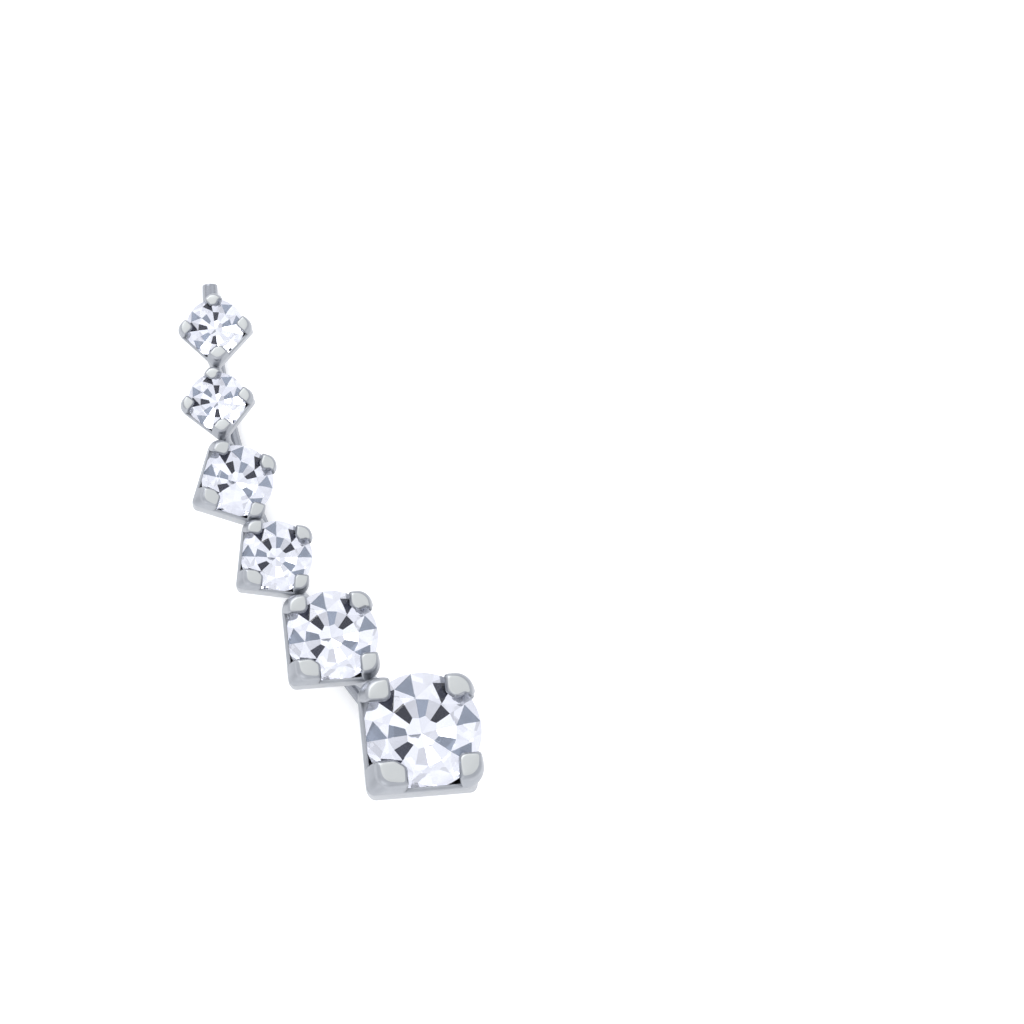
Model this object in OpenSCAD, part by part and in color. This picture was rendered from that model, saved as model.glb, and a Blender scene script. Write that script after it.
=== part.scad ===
// Ear climber for the left ear: six round brilliant stones, each in a square four claw setting,
// soldered corner to corner into a curved row, with a round ear wire that runs up behind the row.
// The row is drawn flat in X and Y with the stones facing +Z, and is then laid on its wire.

/* [Stones] */
// Diameter of the largest stone, at the foot of the row
stone_large = 6.25; // [5.5:0.05:7]
// Diameter of the second stone from the foot
stone_medium = 4.85; // [4.4:0.05:5.3]
// Diameter of the third and fourth stones
stone_small = 3.8; // [3.4:0.05:4.2]
// Diameter of the two stones at the top
stone_tiny = 3.05; // [2.8:0.05:3.4]
// Angle between the crown's eight main facets and the girdle plane
crown_angle = 34.5; // [32:0.5:37]
// Angle between the pavilion's eight main facets and the girdle plane
pavilion_angle = 41; // [39:0.5:42]
// Width of the table across its corners, as a share of the diameter
table_share = 0.545; // [0.5:0.005:0.6]
// Thickness of the girdle, as a share of the diameter
girdle_share = 0.03; // [0.024:0.002:0.04]
// Turn of the facets about the stone's axis, from the setting's sides
facet_turn = 17; // [0:1:45]

/* [Settings] */
// Half width of a setting at its back, as a share of its stone
back_share = 0.465; // [0.44:0.005:0.49]
// Half width of a setting at its claws, as a share of its stone
claw_share = 0.508; // [0.5:0.002:0.53]
// Height of the girdle above the setting's back, as a share of its stone
seat_share = 0.52; // [0.5:0.01:0.58]
// Thickness of the side walls at the back, as a share of the stone
wall_share = 0.065; // [0.05:0.005:0.08]
// Thickness of the side walls at their top edge, as a share of the stone
edge_share = 0.032; // [0.028:0.002:0.04]
// Thickness of the closed back
back_plate = 0.28; // [0.2:0.02:0.3]
// Depth of the walls' top edge below the girdle, as a share of the stone
rim_share = 0.05; // [0.03:0.005:0.08]
// Width of the opening between two claws at the wall's top edge, as a share of the stone
window_share = 0.56; // [0.52:0.01:0.6]
// Width of that opening at the claws' heads, as a share of the stone
head_window_share = 0.42; // [0.38:0.01:0.48]
// Height of the claws above the girdle, as a share of the stone
claw_rise_share = 0.2; // [0.18:0.005:0.23]
// Reach of the claws' tips from the stone's axis, as a share of the stone
tip_share = 0.36; // [0.34:0.01:0.4]
// Clearance between a stone and its metal
stone_gap = 0.05; // [0.03:0.01:0.08]
// Radius of the solder between two settings, as a share of their mean stone
solder_share = 0.13; // [0.11:0.01:0.16]

/* [Ear wire] */
// Diameter of the wire
wire_d = 0.8; // [0.7:0.05:1]
// Clear gap between the settings' backs and the wire
ear_gap = 4.6; // [4.4:0.1:6]
// Radius of the wire's long curve, at its centre line
wire_curve_r = 38.3; // [34:0.1:44]
// Angle that the long curve takes up
wire_sweep = 39; // [36:0.5:41]
// Radius of the bend below the largest setting, at the centre line
wire_bend_r = 1.9; // [1.4:0.1:2.2]
// Direction in which the wire leaves that bend
wire_heading = 131.7; // [128:0.1:136]
// Diameter of the solder pad where the wire meets the largest setting
pad_d = 1.7; // [1.2:0.1:2.4]

/* [Hidden] */
$fn = 48;

// One row for each setting, from the foot of the row to its top. Columns: the stone's diameter, the
// direction from the setting before it, the distance from that setting as a share of their two
// diameters, the turn of the square about its own axis, and its roll about the row's Y.
DIAMETER = 0;
HEADING = 1;
SPACING = 2;
TURN = 3;
ROLL = 4;
row = [
    [stone_large,    0,     0,     5.5,  1.7],
    [stone_medium, 132.3, 0.632,   5.5,  1.7],
    [stone_small,  123.8, 0.605,  -5.6,  3.5],
    [stone_small,  117,   0.597, -16.2,  5],
    [stone_tiny,   103.8, 0.654,  52.2, -6.3],
    [stone_tiny,    91.6, 0.644,  47.4, -5.5],
];
last = len(row) - 1;

// Place of a setting's centre in the row's plane
function direction(a) = [cos(a), sin(a)];
function spacing(i) = row[i][SPACING] * (row[i][DIAMETER] + row[i - 1][DIAMETER]);
function centre(i) = i == 0 ? [0, 0] : centre(i - 1) + spacing(i) * direction(row[i][HEADING]);
function girdle_height(i) = seat_share * row[i][DIAMETER];

// Facets of a round brilliant
MAINS = 8;
MAIN_STEP = 360 / MAINS;
HALF_TURN = MAIN_STEP / 4;
HALF_STEPS = 3;
STAR_REACH = 0.76;
LOWER_HALF_REACH = 0.26;
UPPER_HALF_ANGLE = crown_angle + 6.2;
LOWER_HALF_ANGLE = pavilion_angle + 1.3;

// Outline of a setting's corners
CORNER_STEPS = 4;
BACK_CORNER_SHARE = 0.07;
CLAW_CORNER_SHARE = 0.18;
WINDOW_CORNER_SHARE = 0.045;
HOLLOW_CORNER_SHARE = 0.22;
BACK_HOLLOW_CORNER_SHARE = 0.05;

// Facets of the wire, and the depth of its solder pad
WIRE_SIDES = 16;
BEND_STEPS = 6;
CURVE_STEPS = 18;
PAD_DEPTH = 0.2;

// Depth of the wire's centre line, and the point where its long curve starts
foot = [0, 0];
wire_z = -(ear_gap + wire_d / 2);
curve_start = foot + wire_bend_r * direction(wire_heading);
curve_centre = curve_start + wire_curve_r * direction(wire_heading - 90);

// Half of a setting's width along X and Y, as it is turned, and the box round the whole piece
function half_width(i) =
    let (r = CLAW_CORNER_SHARE * row[i][DIAMETER], h = claw_share * row[i][DIAMETER] - r)
        h * (abs(cos(row[i][TURN])) + abs(sin(row[i][TURN]))) + r;
low_x = min([for (i = [0 : last]) centre(i)[0] - half_width(i)]);
high_x = max([for (i = [0 : last]) centre(i)[0] + half_width(i)]);
low_y = min([for (i = [0 : last]) centre(i)[1] - half_width(i)]);
high_y = curve_point(1)[1] + wire_d / 2;

// Point at a radius, an angle about the axis and a height
function polar(r, a, z) = [r * cos(a), r * sin(a), z];

// Height of a half facet's edge on the girdle at angle a: it is highest at the ends of the facet and
// dips between them, as a plane cuts a cylinder
function girdle_dip(r, a, tangent) =
    r * (cos((a % (2 * HALF_TURN)) - HALF_TURN) - cos(HALF_TURN)) * tangent;

// Round brilliant with its girdle's middle at the origin: table, eight stars, eight mains and
// sixteen halves above the girdle, and eight mains and sixteen halves below it
module brilliant(d) {
    r = d / 2;
    half_girdle = girdle_share * d / 2;
    table_r = table_share * r;
    table_z = half_girdle + (r - table_r) * tan(crown_angle);
    star_r = STAR_REACH * r;
    star_z = half_girdle + (r - star_r * cos(2 * HALF_TURN)) * tan(crown_angle);
    upper_tangent = (star_z - half_girdle) / (cos(HALF_TURN) * (r - star_r));
    keel_r = LOWER_HALF_REACH * r;
    keel_z = half_girdle + (r - keel_r * cos(2 * HALF_TURN)) * tan(pavilion_angle);
    lower_tangent = (keel_z - half_girdle) / (cos(HALF_TURN) * (r - keel_r));
    culet_z = half_girdle + r * tan(pavilion_angle);
    span = 2 * HALF_STEPS;
    n = MAINS * span;
    points = concat(
        [for (k = [0 : MAINS - 1]) polar(table_r, k * MAIN_STEP, table_z)],
        [for (k = [0 : MAINS - 1]) polar(star_r, (k + 0.5) * MAIN_STEP, star_z)],
        [for (i = [0 : n - 1]) let (a = i * 360 / n)
            polar(r, a, half_girdle - girdle_dip(r, a, upper_tangent))],
        [for (i = [0 : n - 1]) let (a = i * 360 / n)
            polar(r, a, girdle_dip(r, a, lower_tangent) - half_girdle)],
        [for (k = [0 : MAINS - 1]) polar(keel_r, (k + 0.5) * MAIN_STEP, -keel_z)],
        [[0, 0, -culet_z]]
    );
    star = MAINS;
    upper = 2 * MAINS;
    lower = upper + n;
    keel = lower + n;
    culet = keel + MAINS;
    faces = concat(
        [[for (k = [MAINS - 1 : -1 : 0]) k]],
        [for (k = [0 : MAINS - 1]) [(k + 1) % MAINS, star + k, k]],
        [for (k = [0 : MAINS - 1]) [star + k, upper + k * span, star + (k + MAINS - 1) % MAINS, k]],
        [for (k = [0 : MAINS - 1], side = [0, HALF_STEPS])
            concat([star + k], [for (i = [HALF_STEPS : -1 : 0]) upper + (k * span + side + i) % n])],
        [for (i = [0 : n - 1]) [lower + i, upper + i, upper + (i + 1) % n, lower + (i + 1) % n]],
        [for (k = [0 : MAINS - 1], side = [0, HALF_STEPS])
            concat([keel + k], [for (i = [0 : HALF_STEPS]) lower + (k * span + side + i) % n])],
        [for (k = [0 : MAINS - 1]) [culet, keel + (k + MAINS - 1) % MAINS, lower + k * span, keel + k]]
    );
    polyhedron(points = points, faces = faces);
}

// Ring of points round a square of half width h with corners of radius r, at height z
function square_ring(h, r, z) = [
    for (corner = [0 : 3], step = [0 : CORNER_STEPS])
        let (middle = 90 * corner + 45, a = 90 * (corner + step / CORNER_STEPS))
            [(h - r) * sign(cos(middle)) + r * cos(a), (h - r) * sign(sin(middle)) + r * sin(a), z]
];

// Solid through a list of rings with the same number of points
module loft(rings) {
    n = len(rings[0]);
    top = len(rings) - 1;
    polyhedron(
        points = [for (ring = rings, point = ring) point],
        faces = concat(
            [[for (i = [0 : n - 1]) i]],
            [for (j = [0 : top - 1], i = [0 : n - 1])
                [j * n + i, (j + 1) * n + i, (j + 1) * n + (i + 1) % n, j * n + (i + 1) % n]],
            [[for (i = [n - 1 : -1 : 0]) top * n + i]]
        )
    );
}

// Outer form of a setting, solid: a square cup that widens to its claws, whose tops draw in
module setting_block(d) {
    h = seat_share * d;
    rise = claw_rise_share * d;
    back_w = back_share * d;
    claw_w = claw_share * d;
    back_r = BACK_CORNER_SHARE * d;
    claw_r = CLAW_CORNER_SHARE * d;
    loft([
        square_ring(back_w, back_r, 0),
        square_ring(claw_w, claw_r, h),
        square_ring(claw_w, claw_r, h + 0.4 * rise),
        square_ring(claw_w - 0.02 * d, claw_r, h + 0.75 * rise),
        square_ring(claw_w - 0.07 * d, claw_r, h + rise),
    ]);
}

// Space that the stone takes up with its clearance, seen as turned about its axis, and the opening
// above its table between the claws' tips
module stone_space(d) {
    r = d / 2;
    half_girdle = girdle_share * d / 2 + stone_gap;
    table_r = table_share * r;
    table_z = half_girdle + (r - table_r) * tan(crown_angle) + stone_gap;
    shoulder_r = 0.75 * r;
    shoulder_z = half_girdle + (r - shoulder_r) * tan(UPPER_HALF_ANGLE);
    depth = half_girdle + r * tan(LOWER_HALF_ANGLE) * cos(HALF_TURN);
    tip = tip_share * d;
    rotate_extrude()
        polygon([
            [0, -depth],
            [r + stone_gap, -half_girdle],
            [r + stone_gap, half_girdle],
            [shoulder_r, shoulder_z],
            [table_r, table_z],
            [0, table_z],
        ]);
    rotate([0, 0, 45])
        translate([-tip, -tip, half_girdle])
            cube([2 * tip, 2 * tip, d]);
}

// Opening between two claws, through both walls that it meets
module window(d) {
    half_w = window_share * d / 2;
    head_half_w = head_window_share * d / 2;
    r = WINDOW_CORNER_SHARE * d;
    low = (seat_share - rim_share) * d;
    girdle = seat_share * d;
    top = girdle + claw_rise_share * d;
    rotate([90, 0, 0])
        linear_extrude(height = 2 * d, center = true) {
            polygon([
                [-half_w + r, low],
                [half_w - r, low],
                [half_w, low + r],
                [half_w, girdle],
                [head_half_w, top],
                [head_half_w, top + r],
                [-head_half_w, top + r],
                [-head_half_w, top],
                [-half_w, girdle],
                [-half_w, low + r],
            ]);
            for (side = [-1, 1])
                translate([side * (half_w - r), low + r])
                    circle(r = r);
        }
}

// Space inside a setting's walls, from its closed back to their top edge
module hollow(d) {
    low = (seat_share - rim_share) * d;
    back_w = (back_share - wall_share) * d;
    edge_w = (back_share + (claw_share - back_share) * (1 - rim_share / seat_share) - edge_share) * d;
    loft([
        square_ring(back_w, BACK_HOLLOW_CORNER_SHARE * d, back_plate),
        square_ring(edge_w, HOLLOW_CORNER_SHARE * d, low + 0.02 * d),
    ]);
}

// One setting with its back at z = 0: closed back, four walls and four claws
module setting(d) {
    difference() {
        setting_block(d);
        translate([0, 0, seat_share * d])
            stone_space(d);
        hollow(d);
        window(d);
        rotate([0, 0, 90])
            window(d);
    }
}

// Moves a child made at a setting's back to that setting's place in the row
module in_row(i) {
    h = girdle_height(i);
    translate([centre(i)[0], centre(i)[1], h])
        rotate([0, row[i][ROLL], 0])
            rotate([0, 0, row[i][TURN]])
                translate([0, 0, -h])
                    children();
}

// Lays the whole piece on its wire, with the middle of its box over the origin
module lying() {
    translate([-(low_x + high_x) / 2, -(low_y + high_y) / 2, ear_gap + wire_d])
        children();
}

// Solder between a setting and the one before it
module solder(i) {
    both = row[i][DIAMETER] + row[i - 1][DIAMETER];
    share = row[i][DIAMETER] / both;
    at = centre(i) + share * (centre(i - 1) - centre(i));
    translate([at[0], at[1], min(girdle_height(i), girdle_height(i - 1)) / 2])
        sphere(r = solder_share * both / 2);
}

// Ring of points round the wire, where it runs in a direction at a pitch below or above level
function wire_ring(point, heading, pitch, r) = [
    for (i = [0 : WIRE_SIDES - 1])
        let (
            a = 360 * i / WIRE_SIDES,
            side = [-sin(heading), cos(heading), 0],
            up = [-sin(pitch) * cos(heading), -sin(pitch) * sin(heading), cos(pitch)]
        )
            point + r * (cos(a) * side + sin(a) * up)
];

// Point of the bend at a pitch, and of the long curve at a share of its sweep
function bend_point(pitch) = [
    curve_start[0] + wire_bend_r * sin(pitch) * cos(wire_heading),
    curve_start[1] + wire_bend_r * sin(pitch) * sin(wire_heading),
    wire_z + wire_bend_r * (1 - cos(pitch)),
];
function curve_heading(share) = wire_heading - wire_sweep * share;
function curve_point(share) = [
    curve_centre[0] + wire_curve_r * cos(curve_heading(share) + 90),
    curve_centre[1] + wire_curve_r * sin(curve_heading(share) + 90),
    wire_z,
];

// Round ear wire: a leg down from the largest setting, a bend, a long curve and a rounded tip
module ear_wire() {
    r = wire_d / 2;
    tip_heading = curve_heading(1);
    tip_forward = [cos(tip_heading), sin(tip_heading), 0];
    loft(concat(
        [wire_ring([foot[0], foot[1], back_plate / 2], wire_heading, -90, r)],
        [for (i = [0 : BEND_STEPS])
            let (pitch = 90 * i / BEND_STEPS - 90)
                wire_ring(bend_point(pitch), wire_heading, pitch, r)],
        [for (i = [1 : CURVE_STEPS])
            wire_ring(curve_point(i / CURVE_STEPS), curve_heading(i / CURVE_STEPS), 0, r)],
        [for (a = [30, 55, 75])
            wire_ring(curve_point(1) + r * sin(a) * tip_forward, tip_heading, 0, r * cos(a))]
    ));
    translate([foot[0], foot[1], -PAD_DEPTH])
        cylinder(d = pad_d, h = PAD_DEPTH + back_plate / 2);
}

// All the metal, which is soldered into one piece
module setting_frame() {
    color("lightgray") lying() {
        for (i = [0 : last])
            in_row(i)
                setting(row[i][DIAMETER]);
        for (i = [1 : last])
            solder(i);
        ear_wire();
    }
}

// One stone in its setting
module stone(i) {
    color("white") lying() in_row(i)
        translate([0, 0, girdle_height(i)])
            rotate([0, 0, facet_turn])
                brilliant(row[i][DIAMETER]);
}

setting_frame();
stone(5);  // stone_1
stone(4);  // stone_2
stone(3);  // stone_3
stone(2);  // stone_4
stone(1);  // stone_5
stone(0);  // stone_6
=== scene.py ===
import bpy
import math
import numpy as np
from mathutils import Matrix, Vector


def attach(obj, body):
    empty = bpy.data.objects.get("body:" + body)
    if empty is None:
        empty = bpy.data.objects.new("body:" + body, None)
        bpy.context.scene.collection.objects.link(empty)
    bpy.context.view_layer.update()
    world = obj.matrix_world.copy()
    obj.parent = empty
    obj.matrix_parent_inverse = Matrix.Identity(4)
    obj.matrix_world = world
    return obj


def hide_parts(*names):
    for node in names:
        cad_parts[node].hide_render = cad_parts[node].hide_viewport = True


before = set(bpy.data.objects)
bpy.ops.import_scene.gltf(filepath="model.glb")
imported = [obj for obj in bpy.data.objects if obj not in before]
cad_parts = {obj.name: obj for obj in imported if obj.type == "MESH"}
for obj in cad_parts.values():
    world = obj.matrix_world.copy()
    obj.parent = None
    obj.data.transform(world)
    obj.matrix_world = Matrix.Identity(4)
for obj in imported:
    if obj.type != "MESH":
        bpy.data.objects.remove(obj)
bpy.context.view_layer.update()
mm = 0.001

# the row as the CAD has it, from its foot to its top: mm and degrees, shares are of the stone's diameter
climber = {
    "stoneSizes": [6.25, 4.85, 3.8, 3.8, 3.05, 3.05],
    "headings": [0, 132.3, 123.8, 117, 103.8, 91.6],  # from the setting below
    "spacings": [0, 0.632, 0.605, 0.597, 0.654, 0.644],  # as a share of the two stones together
    "turns": [5.5, 5.5, -5.6, -16.2, 52.2, 47.4],
    "rolls": [1.7, 1.7, 3.5, 5, -6.3, -5.5],
    "seat": 0.52,  # girdle above the back
    "shift": [4.7356, -11.0654, 5.4],
}
sizes = np.array(climber["stoneSizes"])


def rowCentres():
    # each centre is the one before it plus a step along its heading, a share of the two stones long
    steps = np.array(climber["spacings"]) * (sizes + np.concatenate([[0], sizes[:-1]]))
    angles = np.radians(climber["headings"])
    return np.cumsum(np.stack([steps * np.cos(angles), steps * np.sin(angles)], axis=-1), axis=0)


centres = rowCentres()


def place(points, i):
    # a point made on a setting's back is turned about its axis, rolled about its girdle and moved into the
    # row
    a, b = math.radians(climber["turns"][i]), math.radians(climber["rolls"][i])
    turn = np.array([[math.cos(a), -math.sin(a), 0], [math.sin(a), math.cos(a), 0], [0, 0, 1]])
    roll = np.array([[math.cos(b), 0, math.sin(b)], [0, 1, 0], [-math.sin(b), 0, math.cos(b)]])
    girdle = np.array([0, 0, climber["seat"] * sizes[i]])
    return (points - girdle) @ (roll @ turn).T + girdle + np.array([*centres[i], 0]) + climber["shift"]


# where the photo's camera stands: a little below and left of straight above
view = {
    "photoScale": 19.05,  # pixels to a millimetre
    "frame": 1024,
    "foot": (422.3, 731.5),  # pixels, the middle of the largest stone
    "below": 11.0,
    "left": 2.3,
    "distance": 1.8,  # metres
    "sensor": 36,
}


def viewBack():
    a, b = math.radians(view["below"]), math.radians(view["left"])
    return -math.sin(b) * math.cos(a), -math.sin(a), math.cos(b) * math.cos(a)


# surfaces and pieces
def closedSurface(rings):
    # rings of points from one end to the other, each joined to the next, with both ends closed on their
    # middles
    levels, around = rings.shape[:2]
    index = np.arange(levels * around).reshape(levels, around)
    after = np.roll(index, -1, axis=1)
    quads = np.stack([index[:-1], after[:-1], after[1:], index[1:]], axis=-1).reshape(-1, 4)
    low = np.stack([after[0], index[0], np.full(around, levels * around)], axis=-1)
    high = np.stack([index[-1], after[-1], np.full(around, levels * around + 1)], axis=-1)
    points = np.concatenate([rings.reshape(-1, 3), [rings[0].mean(axis=0)], [rings[-1].mean(axis=0)]])
    triangles = np.concatenate([low, high])
    # the volume is the sum of the tetrahedra on the origin: below nothing, the faces look inwards
    a, b, c, d = (points[quads[:, k]] for k in range(4))
    e, f, g = (points[triangles[:, k]] for k in range(3))
    volume = (np.cross(a, b) * c).sum() + (np.cross(a, c) * d).sum() + (np.cross(e, f) * g).sum()
    if volume < 0:
        quads, triangles = quads[:, ::-1], triangles[:, ::-1]
    return points, quads, triangles


def makePiece(name, surfaces, materials, kinds):
    # one object from several closed surfaces; kinds gives each its first material and the quad from which it
    # takes the next
    points, faces, marks, start = [], [], [], 0
    for (corners, quads, triangles), (kind, change) in zip(surfaces, kinds):
        points.append(corners)
        faces += (quads + start).tolist() + (triangles + start).tolist()
        marks.append(np.where(np.arange(len(quads) + len(triangles)) < change, kind, kind + 1))
        start += len(corners)
    mesh = bpy.data.meshes.new(name)
    mesh.from_pydata((np.concatenate(points) * mm).tolist(), [], faces)
    mesh.polygons.foreach_set("use_smooth", np.ones(len(faces), dtype=bool))
    mesh.polygons.foreach_set("material_index", np.concatenate(marks).astype(np.int32))
    mesh.update()
    piece = bpy.data.objects.new(name, mesh)
    bpy.context.scene.collection.objects.link(piece)
    for material in materials:
        mesh.materials.append(material)
    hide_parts("setting_frame")
    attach(piece, "root")
    return piece


# materials
def linear(code):
    # sRGB hex to linear light
    parts = np.array([int(code[k:k + 2], 16) for k in (1, 3, 5)]) / 255
    return [*np.where(parts <= 0.04045, parts / 12.92, ((parts + 0.055) / 1.055) ** 2.4).tolist(), 1.0]


def addNode(tree, kind, settings=None, inputs=None, links=None):
    # one node with its own settings, its sockets' values and the links that come into it
    node = tree.nodes.new(kind)
    for key, value in (settings or {}).items():
        setattr(node, key, value)
    for key, value in (inputs or {}).items():
        node.inputs[key].default_value = value
    for key, source in (links or {}).items():
        tree.links.new(source, node.inputs[key])
    return node


def newMaterial(name):
    material = bpy.data.materials.new(name)
    material.use_nodes = True
    material.node_tree.nodes.clear()
    return material, material.node_tree


metalLook = {
    "silver": "#AEB1B6",
    "silverShade": "#9DA0A6",
    "wire": "#A7AAB1",
    "wireShade": "#93969D",
    # the claw heads' tones: a satin finish a little rougher, its colour painted lighter than the walls', a
    # painted highlight for the light their tops catch
    "satinPaintedLighter": "#CDCFCE",
    "satinPaintedLighterCloud": "#C2C5C5",
}


def silver(name, light, shade, roughness, spread, grain, depth):
    # cast silver alloy, rhodium plated: cool grey, cloudy by a few hundredths, with fine wheel marks that
    # soften its gloss
    material, tree = newMaterial(name)
    where = addNode(tree, "ShaderNodeTexCoord")
    cloud = addNode(
        tree, "ShaderNodeTexNoise", {}, {"Scale": 1 / (0.9 * mm), "Detail": 4.0},
        {"Vector": where.outputs["Object"]}
    )
    marks = addNode(
        tree, "ShaderNodeTexNoise", {}, {"Scale": 1 / (grain * mm), "Detail": 3.0, "Roughness": 0.6},
        {"Vector": where.outputs["Object"]}
    )
    colour = addNode(
        tree, "ShaderNodeMix", {"data_type": "RGBA"}, {6: linear(light), 7: linear(shade)},
        {0: cloud.outputs["Fac"]}
    )
    gloss = addNode(
        tree, "ShaderNodeMapRange", {},
        {"From Min": 0.3, "From Max": 0.7, "To Min": roughness - spread, "To Max": roughness + spread},
        {"Value": marks.outputs["Fac"]}
    )
    bump = addNode(
        tree, "ShaderNodeBump", {}, {"Strength": 0.25, "Distance": depth * mm},
        {"Height": marks.outputs["Fac"]}
    )
    links = {
        "Base Color": colour.outputs[2], "Roughness": gloss.outputs["Result"],
        "Normal": bump.outputs["Normal"]
    }
    body = addNode(tree, "ShaderNodeBsdfPrincipled", {}, {"Metallic": 1.0}, links)
    addNode(tree, "ShaderNodeOutputMaterial", {}, {}, {"Surface": body.outputs["BSDF"]})
    return material


polishedSilver = silver(
    "rhodiumPlatedSilverTumbled", metalLook["silver"], metalLook["silverShade"], 0.4, 0.05, 0.12, 0.004
)
drawnSilver = silver(
    "rhodiumPlatedSilverDrawn", metalLook["wire"], metalLook["wireShade"], 0.24, 0.04, 0.1, 0.002
)
# the claw heads' silver: slightly rougher satin, and a colour painted lighter than the walls' as a painted
# highlight
satinSilverPaintedLighter = silver(
    "rhodiumPlatedSilverSatinPaintedLighter", metalLook["satinPaintedLighter"], metalLook["satinPaintedLighterCloud"], 0.42, 0.04, 0.1, 0.003
)
print("stage: metal materials")

crystalLook = {
    "tint": "#FBFBFE",
    "ior": 1.1,
    "coat": 1.0,
    "foil": ("#F4F5FA", "#E6E8F0"),
    # dark and grey foil tones: painted reflections on some back facets
    "paintedDarkReflection": ("#30323D", "#41434F"),
    "paintedGreyReflection": ("#8A93A2", "#9AA2B0"),
    "lacquer": ("#8E9197", "#7C7F86"),
}


def cutCrystal():
    # machine cut and polished crystal: clear, with a trace of haze left by the polishing. Its index is far
    # below real crystal's, so that the crown doesn't break up the pattern of the back; the coat gives its
    # faces their gloss
    material, tree = newMaterial("machineCutCrystal")
    where = addNode(tree, "ShaderNodeTexCoord")
    haze = addNode(
        tree, "ShaderNodeTexNoise", {}, {"Scale": 1 / (0.6 * mm), "Detail": 2.0},
        {"Vector": where.outputs["Object"]}
    )
    gloss = addNode(
        tree, "ShaderNodeMapRange", {}, {"From Min": 0.55, "From Max": 0.8, "To Min": 0.0, "To Max": 0.02},
        {"Value": haze.outputs["Fac"]}
    )
    body = addNode(tree, "ShaderNodeBsdfPrincipled", {},
                   {
                       "Base Color": linear(crystalLook["tint"]), "IOR": crystalLook["ior"],
                       "Transmission Weight": 1.0, "Coat Weight": crystalLook["coat"], "Coat Roughness": 0.0
                   },
                   {"Roughness": gloss.outputs["Result"]})
    addNode(tree, "ShaderNodeOutputMaterial", {}, {}, {"Surface": body.outputs["BSDF"]})
    return material


def mirrorFoil(name, light, shade):
    # mirror backing evaporated on the stone's back: it throws the light back through the crown in flat,
    # sharp tones. Given a dark or a grey colour, it makes the painted dark and grey reflections of some
    # facets
    material, tree = newMaterial(name)
    where = addNode(tree, "ShaderNodeTexCoord")
    cloud = addNode(
        tree, "ShaderNodeTexNoise", {}, {"Scale": 1 / (1.5 * mm), "Detail": 1.0},
        {"Vector": where.outputs["Object"]}
    )
    colour = addNode(
        tree, "ShaderNodeMix", {"data_type": "RGBA"}, {6: linear(light), 7: linear(shade)},
        {0: cloud.outputs["Fac"]}
    )
    body = addNode(
        tree, "ShaderNodeBsdfPrincipled", {}, {"Metallic": 1.0, "Roughness": 0.02},
        {"Base Color": colour.outputs[2]}
    )
    addNode(tree, "ShaderNodeOutputMaterial", {}, {}, {"Surface": body.outputs["BSDF"]})
    return material


def backLacquer():
    # grey lacquer brushed over the foil from outside: it keeps the cone under the stone from going black in
    # the cup
    material, tree = newMaterial("brushedFoilLacquer")
    where = addNode(tree, "ShaderNodeTexCoord")
    strokes = addNode(
        tree, "ShaderNodeTexNoise", {}, {"Scale": 1 / (0.25 * mm), "Detail": 3.0},
        {"Vector": where.outputs["Object"]}
    )
    colour = addNode(
        tree, "ShaderNodeMix", {"data_type": "RGBA"},
        {6: linear(crystalLook["lacquer"][0]), 7: linear(crystalLook["lacquer"][1])},
        {0: strokes.outputs["Fac"]}
    )
    body = addNode(
        tree, "ShaderNodeBsdfPrincipled", {}, {"Roughness": 0.5}, {"Base Color": colour.outputs[2]}
    )
    addNode(tree, "ShaderNodeOutputMaterial", {}, {}, {"Surface": body.outputs["BSDF"]})
    return material


# the cut: shares of the radius unless noted. The back under the crown is a shallow mirrored bowl of flat
# facets, cut to the pattern that the photo shows; a plain cone is cemented under it, lacquered outside
cut = {
    "crownAngle": 34.5,
    "table": 0.545,
    "starReach": 0.76,
    "girdle": 0.03,
    "turn": 17.0,
    "backTurn": -11.25,  # from the crown, a whole number of girdle steps
    "girdleStep": 3.75,
    "kite": (0.25, 0.29),  # radius on the spokes and between them
    "belt": (0.57, 0.56),
    "peak": 0.84,
    # degrees: kites, belt, from the belt to the peaks, from the belt to the girdle
    "slopes": (24.0, 12.6, 12.6, 4.5),
    # back facets whose foil is painted dark, then those painted grey: painted reflections
    "paintedDarkReflection": [16, 18, 20, 41, 50, 52],
    "paintedGreyReflection": [15, 17, 19, 40, 42, 47, 51],
    "cement": 0.004,
    "coneAngle": 41.0,
    "coneInset": 0.995,
    "coneEnd": 0.02,
}


def planeHeights(a, b, c, x, y):
    # the height over x, y of the plane through three points: a's height less the slope times the distance
    # from a
    n = np.cross(b - a, c - a)
    return a[..., 2] - (n[..., 0] * (x - a[..., 0]) + n[..., 1] * (y - a[..., 1])) / n[..., 2]


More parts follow.
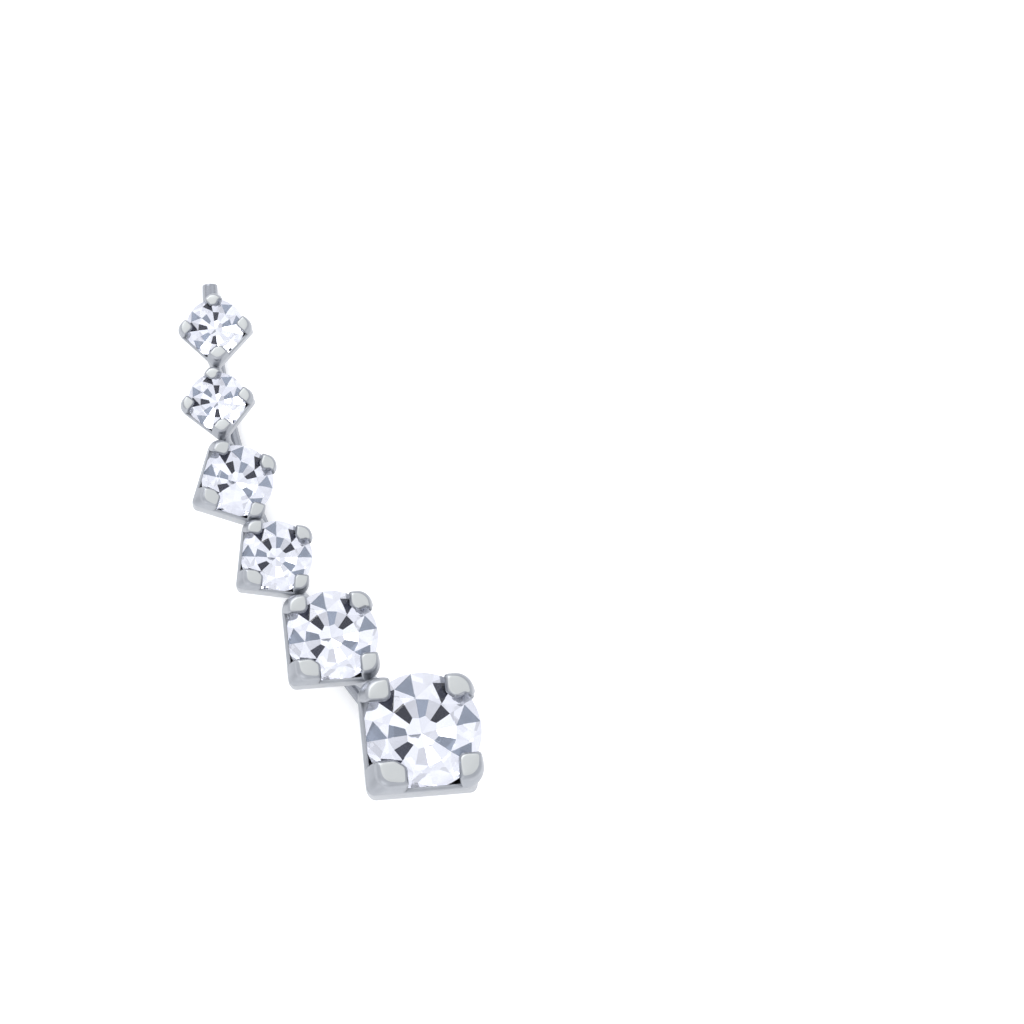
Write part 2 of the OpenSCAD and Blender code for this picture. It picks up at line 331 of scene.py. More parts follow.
def backRows(r, edge):
    # spokes every 45 degrees, with points between them: kites round the middle, a belt of quads, then
    # triangles up to the peaks and fans out to the girdle. Heights rise outwards by the slope times the
    # step; a quad's last corner and the girdle's points lie in the planes of their facets
    rise = [math.tan(math.radians(v)) for v in cut["slopes"]]
    spoke = math.radians(cut["backTurn"]) + np.arange(8) * math.pi / 4
    between = spoke + math.pi / 8

    def row(radius, angles, z):
        return np.stack([radius * np.cos(angles), radius * np.sin(angles), z + 0 * angles], axis=-1)

    kiteS, kiteB, beltS, beltB, peak = (v * r for v in (*cut["kite"], *cut["belt"], cut["peak"]))
    kites = row(kiteS, spoke, kiteS * rise[0])
    kitesB = row(kiteB, between, kiteB * rise[0] / math.cos(math.pi / 8))
    belt = row(beltS, spoke, kiteS * rise[0] + (beltS - kiteS) * rise[1])
    beltMid = row(beltB, between, 0)
    beltMid[:, 2] = planeHeights(kites, belt, kitesB, beltMid[:, 0], beltMid[:, 1])
    peaks = row(peak, between, belt[0, 2] + (peak - beltS) * rise[2])
    rim = row(r, spoke, belt[0, 2] + (r - beltS) * rise[3])
    rimMid = row(r, between, peaks[0, 2] + (r - peak) * rise[3])
    angles = (cut["backTurn"] / cut["girdleStep"] + np.arange(96)) * math.pi / 48
    ring = row(r, angles, 0).reshape(8, 2, 6, 3)
    ends = [(rim, rimMid), (rimMid, np.roll(rim, -1, axis=0))]
    for side, (start, end) in enumerate(ends):
        ring[:, side, :, 2] = planeHeights(
            peaks[:, None], start[:, None], end[:, None], ring[:, side, :, 0], ring[:, side, :, 1]
        )
    rows = [np.zeros((1, 3)), kites, kitesB, belt, beltMid, peaks, ring.reshape(96, 3)]
    lift = 0.1 * edge + rows[-1][:, 2].max()
    return [part - [0, 0, lift] for part in rows]


def backFaces(first):
    # the rows above in order, from the number of the middle's point
    k = np.arange(8)
    n = (k + 1) % 8
    kites, kitesB, belt, beltMid, peaks, ring = (first + row for row in (1, 9, 17, 25, 33, 41))
    faces = np.stack([np.full(8, first), kites + k, kitesB + k, kites + n], axis=-1).tolist()
    faces += np.stack([kites + k, belt + k, beltMid + k, kitesB + k], axis=-1).tolist()
    faces += np.stack([kitesB + k, beltMid + k, belt + n, kites + n], axis=-1).tolist()
    faces += np.stack([belt + k, peaks + k, beltMid + k], axis=-1).tolist()
    faces += np.stack([beltMid + k, peaks + k, belt + n], axis=-1).tolist()
    faces += np.stack([belt + k, ring + k * 12, peaks + k], axis=-1).tolist()
    faces += np.stack([belt + n, peaks + k, ring + (k * 12 + 12) % 96], axis=-1).tolist()
    for side in (0, 6):
        faces += np.stack([peaks + k] + [ring + (k * 12 + side + j) % 96 for j in range(7)], axis=-1).tolist()
    return faces


def brilliant(d):
    # a full crown of table, eight stars, eight kites and sixteen halves over the faceted back. Where a flat
    # facet that slopes by s cuts the cylinder, its edge dips by s r (cos(angle from its middle) - cos(half
    # its width)). Corners by rows: table, star points, upper girdle, then the back's; the cone's are the
    # same back again, a little lower, and its tip
    r, edge = d / 2, cut["girdle"] * d / 2
    crown = math.tan(math.radians(cut["crownAngle"]))
    half = math.radians(11.25)
    starR, tableR = cut["starReach"] * r, cut["table"] * r
    starZ = edge + (r - starR * math.cos(2 * half)) * crown
    upper = (starZ - edge) / (math.cos(half) * (r - starR))
    eighth = np.arange(8) * math.pi / 4
    ring = np.arange(96) * math.pi / 48

    def row(radius, angles, z):
        return np.stack(
            [radius * np.cos(angles), radius * np.sin(angles), np.broadcast_to(z, angles.shape)], axis=-1
        )

    highDip = r * (np.cos(np.mod(ring, 2 * half) - half) - math.cos(half)) * upper
    back = backRows(r, edge)
    # the back's girdle row is turned, so that both girdle rows start together
    turned = round(cut["backTurn"] / cut["girdleStep"])
    back[-1] = np.roll(back[-1], turned, axis=0)
    k, i = np.arange(8), np.arange(96)
    star, high, middle, low = 8, 16, 112, 112 + 41
    crownFaces = [list(range(8))]
    crownFaces += np.stack([star + k, (k + 1) % 8, k], axis=-1).tolist()
    crownFaces += np.stack([star + (k - 1) % 8, high + k * 12, star + k, k], axis=-1).tolist()
    for side in (0, 6):
        crownFaces += np.stack(
            [star + k] + [high + (k * 12 + side + j) % 96 for j in range(7)], axis=-1
        ).tolist()
    crownFaces += np.stack([high + i, low + i, low + (i + 1) % 96, high + (i + 1) % 96], axis=-1).tolist()
    faces = [
        [v if v < low else low + (v - low + turned) % 96 for v in face][::-1] for face in backFaces(middle)
    ]
    points = np.concatenate(
        [
            row(tableR, eighth, edge + (r - tableR) * crown), row(starR, eighth + 2 * half, starZ),
            row(r, ring, edge - highDip)
        ] + back
    )
    # the cone: the same surface a cement line lower, a little inside the girdle, and then a plain cone down
    # to its tip
    under = np.concatenate(back) * [cut["coneInset"], cut["coneInset"], 1] - [0, 0, cut["cement"] * d]
    coneDepth = r * math.cos(2 * half) * math.tan(math.radians(cut["coneAngle"])) + cut["coneEnd"] * d
    tip = np.array([[0, 0, under[:, 2].max() - coneDepth]])
    start = len(points)
    lower = [[v - middle + start for v in face[::-1]] for face in faces]
    ringStart = start + 41
    lower += np.stack([np.full(96, start + 137), ringStart + (i + 1) % 96, ringStart + i], axis=-1).tolist()
    return np.concatenate([points, under, tip]), crownFaces, faces + lower


# painted reflections: the foil of some facets of the belt and of the triangles round it is given a dark or a
# grey tone, which holds the sunburst of dark and pale facets that a real stone mirrors from its surroundings
backKinds = np.zeros(72, dtype=np.int32)
backKinds[cut["paintedDarkReflection"]] = 1
backKinds[cut["paintedGreyReflection"]] = 2
stoneMaterials = [
    cutCrystal(),
    mirrorFoil("evaporatedSilverFoil", *crystalLook["foil"]),
    # dark and grey mirror foils: painted reflections on the facets listed in the cut
    mirrorFoil("foilPaintedDarkReflection", *crystalLook["paintedDarkReflection"]),
    mirrorFoil("foilPaintedGreyReflection", *crystalLook["paintedGreyReflection"]),
    backLacquer(),
]
for i, d in enumerate(sizes):
    points, crownFaces, pavilionFaces = brilliant(d)
    a = math.radians(cut["turn"])
    points = points @ np.array(
        [[math.cos(a), math.sin(a), 0], [-math.sin(a), math.cos(a), 0], [0, 0, 1]]
    ) + np.array([0, 0, climber["seat"] * d])
    mesh = bpy.data.meshes.new("cut_stone_%d" % (6 - i))
    mesh.from_pydata((place(points, i) * mm).tolist(), [], crownFaces + pavilionFaces)
    kinds = np.concatenate(
        [np.zeros(len(crownFaces)), backKinds + 1, np.ones(72), np.full(96, 4)]
    ).astype(np.int32)
    mesh.polygons.foreach_set("material_index", kinds)
    for material in stoneMaterials:
        mesh.materials.append(material)
    mesh.update()
    piece = bpy.data.objects.new(mesh.name, mesh)
    bpy.context.scene.collection.objects.link(piece)
    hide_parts("stone_%d" % (6 - i))
    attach(piece, "root")
print("stage: stones")

# settings
cup = {
    "backHalf": 0.465,
    "backRound": 0.07,
    "clawRound": 0.18,
    "innerRound": 0.15,
    "plate": 0.04,
    "bevel": 0.018,
    "shownRound": 0.075,
    "coneGap": 0.012,
    "coneTip": 0.16,
    "hidden": {
        "half": 0.452, "rim": -0.09, "edge": 0.024, "under": 0.426, "hold": 0.424, "ledge": -0.1, "bow": 0.2,
        "lip": 1.0
    },
    "shown": {
        "half": 0.518, "rim": 0.052, "edge": 0.04, "under": 0.512, "hold": 0.512, "ledge": 0.006, "bow": 0.8,
        "lip": 0.55
    },
    "pockets": [(215, 15), (304, 12)],  # where round the stone and how wide, degrees
    "pocketDepth": 0.12,
}


def cupRings(d, arcSteps=10, sideSteps=6):
    # a profile carried round a rounded square: back, bevel, outer wall, round top edge, a ledge under the
    # girdle and a cone that follows the pavilion down. The outline is square outside and turns to a circle
    # at the cone. The left and lower walls lap over the girdle; the right and upper ones stay below it, set
    # in under the stone
    seat, bevel, corner = climber["seat"], cup["bevel"], cup["backRound"]
    quarter, edge = np.radians(np.linspace(0, 90, 6)), np.radians(np.linspace(0, 180, 11))[1:-1]
    deep = np.linspace(0, 1, 5)
    profiles = []
    for side in (cup["hidden"], cup["shown"]):
        top, thick = seat + side["rim"], side["edge"]
        wall = np.linspace(bevel, top - thick / 2, 9)[1:]
        rise = (wall - bevel) / (top - thick / 2 - bevel)
        bow = math.pi / 2 * side["bow"]
        half = cup["backHalf"] + (side["half"] - cup["backHalf"]) * np.sin(rise * bow) / math.sin(bow)
        ledge = seat + side["ledge"]
        low = np.concatenate([[ledge], ledge + (cup["plate"] - ledge) * deep[1:]])
        cone = 0.5 + cup["coneGap"] - (0.5 - cup["coneTip"]) * (seat - low) / (seat - cup["plate"])
        cone = np.minimum(cone, side["hold"])
        drop = thick / 2 * (1 - np.sin(edge)) * np.where(edge > math.pi / 2, side["lip"], 1)
        across = [
            [cup["backHalf"] * 0.5, cup["backHalf"] - bevel - 0.02],
            cup["backHalf"] - bevel + bevel * np.sin(quarter),
            half,
            side["half"] - thick / 2 + thick / 2 * np.cos(edge),
            [side["under"]],
            cone,
        ]
        upright = [[0, 0], bevel - bevel * np.cos(quarter), wall, top - drop, [ledge + 0.004], low]
        profiles.append((np.concatenate(across), np.concatenate(upright)))
    (halfHidden, zHidden), (halfShown, zShown) = profiles
    up = len(wall)
    rounds = np.concatenate([
        [0.03, 0.05],
        corner - bevel + bevel * np.sin(quarter),
        corner + (cup["clawRound"] - corner) * np.linspace(0, 1, up + 1)[1:],
        cup["clawRound"] - 0.02 * np.linspace(0, 1, len(edge)),
        np.full(6, cup["innerRound"]),
    ])[:, None]
    count = len(rounds)
    circle = (np.arange(count) >= count - 5)[:, None]
    sharp = np.minimum(rounds, cup["shownRound"])
    right, left = halfHidden[:, None], halfShown[:, None]
    bend = np.radians(np.linspace(0, 90, arcSteps + 1))[None, :]
    along = np.linspace(0, 1, sideSteps + 1)[None, 1:-1]
    blend = 0.5 - 0.5 * np.cos(np.linspace(0, math.pi, arcSteps + 1))[None, :]
    # corners in turn: their middles, radius, and how far each point belongs to the walls that show
    corners = [
        (right, right, rounds, 0 * blend, 0),
        (-left, right, rounds, blend, 1),
        (-left, -left, sharp, 1 + 0 * blend, 2),
        (right, -left, rounds, 1 - blend, 3),
    ]
    xs, ys, ws = [], [], []
    for x, y, radius, weight, turn in corners:
        xs.append(x - np.sign(x) * radius + radius * np.cos(bend + turn * math.pi / 2))
        ys.append(y - np.sign(y) * radius + radius * np.sin(bend + turn * math.pi / 2))
        ws.append(np.broadcast_to(weight, xs[-1].shape))
    x, y, w = [], [], []
    for k in range(4):
        n = (k + 1) % 4
        x += [xs[k], xs[k][:, -1:] + along * (xs[n][:, :1] - xs[k][:, -1:])]
        y += [ys[k], ys[k][:, -1:] + along * (ys[n][:, :1] - ys[k][:, -1:])]
        w += [ws[k], np.broadcast_to(ws[k][:, -1:], (count, sideSteps - 1))]
    x, y, w = (np.concatenate(part, axis=1) for part in (x, y, w))
    spin = np.arctan2(y[-7], x[-7])[None, :]
    radius = right * (1 - w) + left * w
    x, y = np.where(circle, radius * np.cos(spin), x), np.where(circle, radius * np.sin(spin), y)
    z = zHidden[:, None] * (1 - w) + zShown[:, None] * w
    away = np.mod(np.degrees(spin), 360)
    pocket = sum(np.exp(-((away - at) / wide) ** 2) for at, wide in cup["pockets"]) * cup["pocketDepth"]
    rows = np.arange(count)[:, None]
    z = z - pocket * w * ((rows == count - 6) | (rows == count - 5))
    return np.stack([x, y, z], axis=-1) * d


# each corner in turn from the upper right: what it leaves free of each side's middle at its stem and at its
# head, how far out the head reaches, its foot on the wall, the height above the girdle where it starts to
# lean in, the foot's rounding and how deep a notch its side has; where a wall stands above the girdle, the
# foot is flush with it
claws = {
    "rise": 0.2,
    "root": -0.07,
    "bevel": 0.055,
    "innerBevel": 0.32,  # shares of the head's reach
    "outerBevel": 0.6,
    "round": 0.03,
    "fillet": 0.04,
    "gap": 0.008,
    "depth": 0.2,  # how far below the root its metal goes on, inside the wall
    "sink": 0.04,  # how far its root runs in under the wall, so that it grows out of it
    "sinkOver": 0.24,
    "footFlare": 0.6,
    "clearFrom": 0.015,
    "clearUnder": 43,
    "clearLeast": 0.2,
    "spine": 0.405,
    "headCorner": 0.13,
    "notchAt": 0.38,
    "notchWidth": 0.045,
    "crownAngle": 40.7,
    "corners": [
        {
            "stem": (0.28, 0.28), "head": (0.20, 0.225), "outer": (0.43, 0.43), "girdle": (0.475, 0.475),
            "start": (0, 0), "corner": 0.18, "notch": 0.022
        },
        {
            "stem": (0.28, 0.28), "head": (0.24, 0.25), "outer": (0.44, 0.44), "girdle": (0.5165, 0.485),
            "start": (0.03, 0), "corner": 0.18, "notch": 0
        },
        {
            "stem": (0.18, 0.28), "head": (0.165, 0.24), "outer": (0.38, 0.465), "girdle": (0.5165, 0.5165),
            "start": (0.03, 0.03), "corner": 0.074, "notch": 0
        },
        {
            "stem": (0.28, 0.28), "head": (0.26, 0.225), "outer": (0.455, 0.445), "girdle": (0.49, 0.5165),
            "start": (0, 0.03), "corner": 0.18, "notch": 0
        },
    ],
}


def rounder(a, b, k):
    # the larger of two distances, rounded over a width k where they are close
    h = np.clip(0.5 + 0.5 * (a - b) / k, 0, 1)
    return b + (a - b) * h + k * h * (1 - h)


def clawRings(corner, around=72):
    # rays from a leaning spine, each as long as the metal goes: inside the cup's rounded corner, beyond the
    # two windows and outside the stone; the top closes over a quarter ellipse, long on the outer side, on a
    # flat face
    rise, low = claws["rise"], claws["root"]
    z = np.concatenate([
        np.linspace(low - claws["depth"], low - 0.04, 5),
        np.linspace(low - 0.03, low + claws["fillet"], 9),
        np.linspace(low + claws["fillet"] + 0.012, rise - claws["bevel"], 20),
    ])[:, None]
    t = np.clip(z / rise, 0, 1)
    lean = t * t * (3 - 2 * t)
    grown = np.minimum(1 + z / climber["seat"], 1)
    sink = claws["sink"] * np.clip(-z / claws["sinkOver"], 0, 1) ** 2
    foot = claws["spine"]
    spineX = foot + (0.5 * (corner["head"][0] + corner["outer"][0]) - foot) * lean - sink
    spineY = foot + (0.5 * (corner["head"][1] + corner["outer"][1]) - foot) * lean - sink
    wide = []
    for k in (0, 1):
        ease = np.clip((z - corner["start"][k]) / (rise - corner["start"][k]), 0, 1) ** 1.5
        wall = cup["backHalf"] + (corner["girdle"][k] - cup["backHalf"]) * grown
        wide.append(wall + (corner["outer"][k] - corner["girdle"][k]) * ease - sink)
    wideX, wideY = wide
    bend = cup["backRound"] + (corner["corner"] - cup["backRound"]) * grown + (
        claws["headCorner"] - corner["corner"]
    ) * lean
    free = np.clip(z - low, 0, claws["fillet"])
    flare = claws["fillet"] - np.sqrt(claws["fillet"] ** 2 - (claws["fillet"] - free) ** 2)
    flare = np.where(z < low, claws["footFlare"] * claws["fillet"], flare * claws["footFlare"])
    sideX = corner["stem"][0] - flare + (corner["head"][0] - corner["stem"][0]) * lean
    sideY = corner["stem"][1] - flare + (corner["head"][1] - corner["stem"][1]) * lean
    # how far from the axis the stone ends, with the gap: the crown, the girdle, and the cone below it
    over, below = math.tan(math.radians(claws["crownAngle"])), math.tan(math.radians(claws["clearUnder"]))
    crown = 0.5 + claws["gap"] - np.clip(z - claws["clearFrom"], 0, 1) / over
    crown = np.where(z < -claws["clearFrom"], 0.5 + claws["gap"] + (z + claws["clearFrom"]) / below, crown)
    crown = np.maximum(crown, claws["clearLeast"])
    notched = corner["notch"] * np.clip(z / 0.06, 0, 1)
    angles = np.linspace(0, 2 * math.pi, around, endpoint=False)[None, :]
    dx, dy = np.cos(angles), np.sin(angles)

    def outside(reach):
        x, y = spineX + reach * dx, spineY + reach * dy
        qx, qy = x - (wideX - bend), y - (wideY - bend)
        shell = np.hypot(np.maximum(qx, 0), np.maximum(qy, 0)) + np.minimum(np.maximum(qx, qy), 0) - bend
        dent = notched * np.exp(-((x - claws["notchAt"]) / claws["notchWidth"]) ** 2)
        inner = rounder(sideX - x, sideY + dent - y, claws["round"] * 2.5)
        stone = crown - np.hypot(x, y)
        return rounder(rounder(shell, inner, claws["round"]), stone, claws["round"])

    near, far = np.zeros((len(z), around)), np.full((len(z), around), 0.5)
    for step in range(26):
        middle = 0.5 * (near + far)
        inside = outside(middle) < 0
        near, far = np.where(inside, middle, near), np.where(inside, far, middle)
    reach = near
    rings = np.stack([spineX + reach * dx, spineY + reach * dy, np.broadcast_to(z, reach.shape)], axis=-1)
    quarter = np.radians(np.linspace(0, 90, 10))[1:, None]
    facing = 0.5 + 0.5 * np.cos(angles - math.pi / 4)
    bevel = reach[-1:] * (claws["innerBevel"] + (claws["outerBevel"] - claws["innerBevel"]) * facing ** 2)
    inward = reach[-1:] - bevel * (1 - np.cos(quarter))
    up = rise - claws["bevel"] * (1 - np.sin(quarter))
    face = inward[-1:] * np.array([0.8, 0.5, 0.2])[:, None]
    drawn = np.concatenate([inward, face])
    height = np.concatenate([up, np.full((3, 1), rise) + 0.002 * np.array([0.3, 0.7, 1.0])[:, None]])
    cap = np.stack(
        [spineX[-1] + drawn * dx, spineY[-1] + drawn * dy, np.broadcast_to(height, drawn.shape)], axis=-1
    )
    return rings, cap


def clawSurface(number, d):
    # corner 0 is the upper right one as made; the others are mirrored into their quarters, which the volume
    # test turns outwards
    rings, cap = clawRings(claws["corners"][number])
    signs = [(1, 1), (-1, 1), (-1, -1), (1, -1)][number]
    whole = np.concatenate([rings, cap]) * np.array([*signs, 1.0]) + np.array([0, 0, climber["seat"]])
    return whole * d, len(rings) + 6


allOne = (0, 10 ** 9)
for i, d in enumerate(sizes):
    surfaces, kinds = [closedSurface(place(cupRings(d), i))], [allOne]
    for number in range(4):
        rings, capStart = clawSurface(number, d)
        surfaces.append(closedSurface(place(rings, i)))
        # each claw's cap faces take the second material, silver painted lighter: a painted highlight on the
        # heads' tops
        kinds.append((0, capStart * rings.shape[1]))
    makePiece("setting_%d" % (6 - i), surfaces, [polishedSilver, satinSilverPaintedLighter], kinds)
print("stage: settings")

# solder between the settings
solder = {"across": 0.075, "swell": 1.3, "along": 0.13, "flare": 0.6, "top": 0.9, "full": 0.92}


def solderRings(i):
    # a neck from one setting to the next, an upright oval that widens at both ends where it wets the walls
    d, e = sizes[i], sizes[i - 1]
    start, end = centres[i], centres[i - 1]
    line = (end - start) / np.linalg.norm(end - start)
    side = np.array([-line[1], line[0]])
    middle = start + (end - start) * d / (d + e)
    small = min(d, e)
    t = np.linspace(-1, 1, 17)
    span = solder["along"] * (d + e) / 2
    tall = 0.5 * climber["seat"] * small * solder["top"]
    grow = 1 + solder["flare"] * np.abs(t) ** 2
    ends = np.sqrt(np.clip(1 - np.abs(t) ** 10, 0.02, 1))
    angles = np.linspace(0, 2 * math.pi, 32, endpoint=False)
    wide = (solder["across"] * small * solder["swell"] * grow * ends)[:, None, None]
    flat = middle[
        None, None, :
    ] + (t * span)[:, None, None] * line + wide * np.cos(angles)[None, :, None] * side
    z = tall + (solder["full"] * tall * ends)[:, None] * np.sin(angles)[None, :]
    return np.concatenate([flat, z[:, :, None]], axis=-1) + np.array(climber["shift"])


makePiece(
    "solder_joints", [closedSurface(solderRings(i)) for i in range(1, 6)], [polishedSilver], [allOne] * 5
)
print("stage: solder")

# ear wire
wire = {
    "diameter": 0.8,
    "gap": 4.6,
    "curveRadius": 38.3,
    "sweep": 39,
    "bendRadius": 1.9,
    "heading": 131.7,
    "straight": 0.3,
    "endRound": 0.1,
    "padDiameter": 1.7,
    "padDepth": 0.2,
    "padCreep": 2.2,
    "padSunk": (0.14, 0.14, 0.1),
    "padLip": 0.03,
}


def wireRings(sides=40):
    # circles carried along the leg, a quarter bend and a long arc, then straight on to a cut end with a
    # rounded edge
    r = wire["diameter"] / 2
    heading = math.radians(wire["heading"])
    depth = -(wire["gap"] + r)
    forward = np.array([math.cos(heading), math.sin(heading)])
    leg = np.linspace(0.1, depth + wire["bendRadius"], 8)[:-1]
    pitch = np.radians(np.linspace(-90, 0, 25))
    share = np.linspace(0, 1, 121)[1:]
    bendStart = forward * wire["bendRadius"]
    centre = bendStart + wire["curveRadius"] * np.array(
        [math.cos(heading - math.pi / 2), math.sin(heading - math.pi / 2)]
    )
    turned = heading - math.radians(wire["sweep"]) * share
    path = np.concatenate([
        np.stack([leg * 0, leg * 0, leg], axis=-1),
        np.stack(
            [
                bendStart[0] * (1 + np.sin(pitch)), bendStart[1] * (1 + np.sin(pitch)),
                depth + wire["bendRadius"] * (1 - np.cos(pitch))
            ],
            axis=-1
        ),
        np.stack(
            [
                centre[0] + wire["curveRadius"] * np.cos(turned + math.pi / 2),
                centre[1] + wire["curveRadius"] * np.sin(turned + math.pi / 2), turned * 0 + depth
            ],
            axis=-1
        ),
    ])
    headings = np.concatenate([np.full(len(leg) + len(pitch), heading), turned])
    pitches = np.concatenate([np.full(len(leg), -math.pi / 2), pitch, turned * 0])
    tip = np.radians(np.linspace(0, 90, 8))
    ahead = np.array([math.cos(headings[-1]), math.sin(headings[-1]), 0])
    path = np.concatenate(
        [path, path[-1] + (wire["straight"] + wire["endRound"] * np.sin(tip))[:, None] * ahead]
    )
    headings = np.concatenate([headings, np.full(len(tip), headings[-1])])
    pitches = np.concatenate([pitches, tip * 0])
    radii = np.concatenate([np.full(len(path) - len(tip), r), r - wire["endRound"] * (1 - np.cos(tip))])
    side = np.stack([-np.sin(headings), np.cos(headings), headings * 0], axis=-1)
    up = np.stack(
        [-np.sin(pitches) * np.cos(headings), -np.sin(pitches) * np.sin(headings), np.cos(pitches)], axis=-1
    )
    a = np.linspace(0, 2 * math.pi, sides, endpoint=False)[None, :, None]
    return path[:, None, :] + radii[:, None, None] * (
        np.cos(a) * side[:, None, :] + np.sin(a) * up[:, None, :]
    ) + np.array(climber["shift"])


def padRings(sides=48):
    # a turned profile: solder that creeps from the back down the wire in a hollow curve
    r, wide, deep = wire["diameter"] / 2, wire["padDiameter"] / 2, wire["padDepth"] * wire["padCreep"]
    lip = -wire["padLip"]
    t = np.radians(np.linspace(0, 90, 12))
    radius = np.concatenate([[wide * 0.5, wide * 0.97, wide], wide - (wide - r) * np.sin(t), [r * 0.6]])
    height = np.concatenate([wire["padSunk"], lip - deep * (1 - np.cos(t)), [lip - deep]])
    a = np.linspace(0, 2 * math.pi, sides, endpoint=False)[None, :]
    rings = np.stack(
        [
            radius[:, None] * np.cos(a), radius[:, None] * np.sin(a),
            np.broadcast_to(height[:, None], (len(height), sides))
        ],
        axis=-1
    )
    return rings + np.array(climber["shift"])


makePiece("ear_wire", [closedSurface(wireRings()), closedSurface(padRings())], [drawnSilver], [allOne] * 2)
print("stage: ear wire")

# floor, light and camera
stage = {"floor": "#F6F6F6", "glow": 0.3}


def paleFloor():
    # the matt opal acrylic top of a light table, which gives a little light of its own
    material, tree = newMaterial("opalAcrylic")
    where = addNode(tree, "ShaderNodeTexCoord")
    grain = addNode(
        tree, "ShaderNodeTexNoise", {}, {"Scale": 400.0, "Detail": 3.0}, {"Vector": where.outputs["Object"]}
    )
    bump = addNode(
        tree, "ShaderNodeBump", {}, {"Strength": 0.02, "Distance": 0.0002}, {"Height": grain.outputs["Fac"]}
    )
    body = addNode(
        tree, "ShaderNodeBsdfPrincipled", {},
        {
            "Base Color": linear(stage["floor"]), "Roughness": 0.9, "Specular IOR Level": 0.2,
            "Emission Color": linear("#FFFFFF"), "Emission Strength": stage["glow"]
        },
        {"Normal": bump.outputs["Normal"]}
    )
    addNode(tree, "ShaderNodeOutputMaterial", {}, {}, {"Surface": body.outputs["BSDF"]})
    size = 2.0
    mesh = bpy.data.meshes.new("floor")
    mesh.from_pydata(
        [(-size, -size, 0), (size, -size, 0), (size, size, 0), (-size, size, 0)], [], [(0, 1, 2, 3)]
    )
    mesh.materials.append(material)
    floor = bpy.data.objects.new("floor", mesh)
    bpy.context.scene.collection.objects.link(floor)


paleFloor()


def softLight(name, azimuth, height, distance, size, radiance):
    # a white rectangular softbox that faces the piece; its power is the radiance times pi times its area
    lamp = bpy.data.lights.new(name, "AREA")
    lamp.shape, lamp.size, lamp.size_y = "RECTANGLE", size[0], size[1]
    lamp.energy = radiance * math.pi * size[0] * size[1]
    a, b = math.radians(azimuth), math.radians(height)
    holder = bpy.data.objects.new(name, lamp)
    holder.location = (
        distance * math.cos(b) * math.cos(a), distance * math.cos(b) * math.sin(a), distance * math.sin(b)
    )
    holder.rotation_euler = (-holder.location).to_track_quat("-Z", "Y").to_euler()
    bpy.context.scene.collection.objects.link(holder)


def patchwork(tree, moved, scale, channel, tones, cast):
    # cells of one flat tone each, picked from the list by one channel of the cell's random colour
    cells = addNode(
        tree, "ShaderNodeTexVoronoi", {"feature": "F1"}, {"Scale": scale, "Randomness": 1.0},
        {"Vector": moved.outputs["Vector"]}
    )
    tone = addNode(tree, "ShaderNodeSeparateColor", {}, {}, {"Color": cells.outputs["Color"]})
    ramp = addNode(tree, "ShaderNodeValToRGB", {}, {}, {"Fac": tone.outputs[channel]})
    ramp.color_ramp.interpolation = "CONSTANT"
    steps = ramp.color_ramp.elements
    for k, (at, value) in enumerate(tones):
        step = steps[k] if k < 2 else steps.new(at)
        step.position, step.color = at, (*(value * part for part in cast), 1)
    return ramp


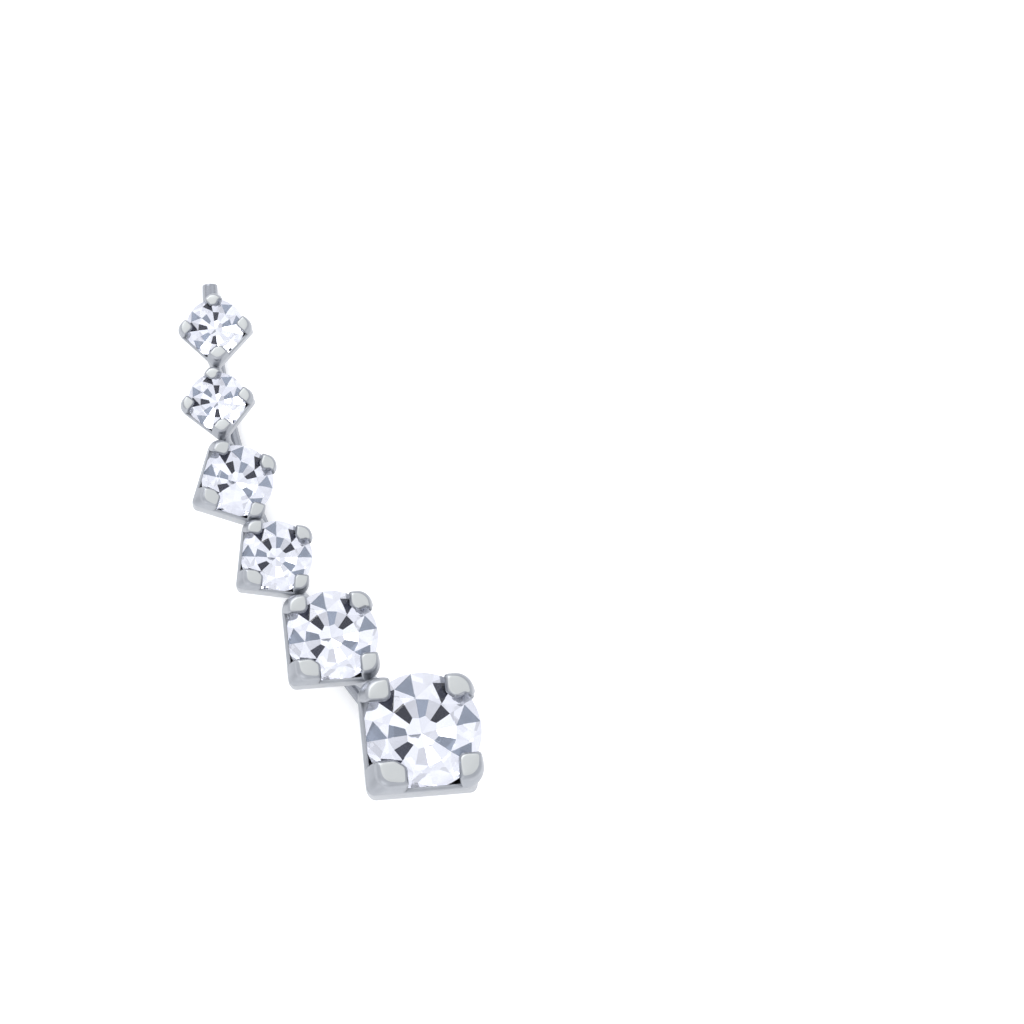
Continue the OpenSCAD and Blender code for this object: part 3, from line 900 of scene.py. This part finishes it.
def studioWorld():
    # a pale room; overhead, a patchwork of white and pale grey panels with a finer one over it, which gives
    # the facets their flat tones
    world = bpy.data.worlds.new("studio")
    world.use_nodes = True
    tree = world.node_tree
    tree.nodes.clear()
    where = addNode(tree, "ShaderNodeTexCoord")
    axes = addNode(tree, "ShaderNodeSeparateXYZ", {}, {}, {"Vector": where.outputs["Generated"]})
    moved = addNode(
        tree, "ShaderNodeMapping", {},
        {"Location": light["moved"], "Rotation": tuple(math.radians(v) for v in light["turned"])},
        {"Vector": where.outputs["Generated"]}
    )
    cards = patchwork(tree, moved, light["cells"], light["channel"], light["tones"], light["cast"])
    high = addNode(
        tree, "ShaderNodeMapRange", {"interpolation_type": "SMOOTHSTEP"}, {"From Min": 0.2, "From Max": 0.4},
        {"Value": axes.outputs["Z"]}
    )
    pieces = patchwork(tree, moved, light["smallCells"], 0, light["smallTones"], (1, 1, 1))
    panels = addNode(
        tree, "ShaderNodeMix", {"data_type": "RGBA", "blend_type": "MULTIPLY"}, {0: 1.0},
        {6: cards.outputs["Color"], 7: pieces.outputs["Color"]}
    )
    both = addNode(
        tree, "ShaderNodeMix", {"data_type": "RGBA"}, {6: linear("#F4F5F8")},
        {0: high.outputs["Result"], 7: panels.outputs[2]}
    )
    sky = addNode(
        tree, "ShaderNodeBackground", {}, {"Strength": light["strength"]}, {"Color": both.outputs[2]}
    )
    addNode(tree, "ShaderNodeOutputWorld", {}, {}, {"Surface": sky.outputs["Background"]})
    bpy.context.scene.world = world


light = {
    "cells": 2.5,
    "channel": 0,
    "cast": (0.985, 1, 1.035),  # a trace of blue
    "moved": (9.25, 9.49, 8.92),
    "turned": (180.0, 0.0, 40.0),
    "strength": 1.07,
    "tones": [
        (0.0, 0.86), (0.125, 0.98), (0.25, 0.94), (0.375, 0.95), (0.44, 1.0), (0.5, 1.0), (0.625, 0.9),
        (0.69, 0.84), (0.75, 1.0), (0.875, 0.94)
    ],
    "smallCells": 6.0,
    "smallTones": [(0.0, 0.85), (0.14, 0.97), (0.4, 1.05), (0.7, 1.2)],
}
studioWorld()
softLight("keySoftbox", 125, 42, 0.9, (0.45, 0.45), 3.2)
softLight("fillSoftbox", 235, 30, 0.9, (0.4, 0.4), 1.5)


def photoCamera():
    # far off with a long lens
    back = Vector(viewBack()).normalized()
    right = Vector((0, 1, 0)).cross(back).normalized()
    up = back.cross(right)
    scale = view["photoScale"]
    foot = Vector((*centres[0], climber["seat"] * sizes[0])) + Vector(climber["shift"])
    middle, (across, down) = view["frame"] / 2, view["foot"]
    aim = (foot + right * ((middle - across) / scale) + up * ((down - middle) / scale)) * mm
    data = bpy.data.cameras.new("camera")
    data.sensor_width = view["sensor"]
    data.lens = view["sensor"] * view["distance"] / (view["frame"] / scale * mm)
    data.clip_start, data.clip_end = 0.01, 20
    camera = bpy.data.objects.new("camera", data)
    camera.matrix_world = Matrix.Translation(
        aim + back * view["distance"]
    ) @ Matrix((right, up, back)).transposed().to_4x4()
    bpy.context.scene.collection.objects.link(camera)
    bpy.context.scene.camera = camera


photoCamera()
bpy.context.scene.view_settings.view_transform = "Standard"
bpy.context.scene.cycles.max_bounces = 20
bpy.context.scene.cycles.glossy_bounces = 16
bpy.context.scene.cycles.transmission_bounces = 16
print("stage: floor, light and camera")
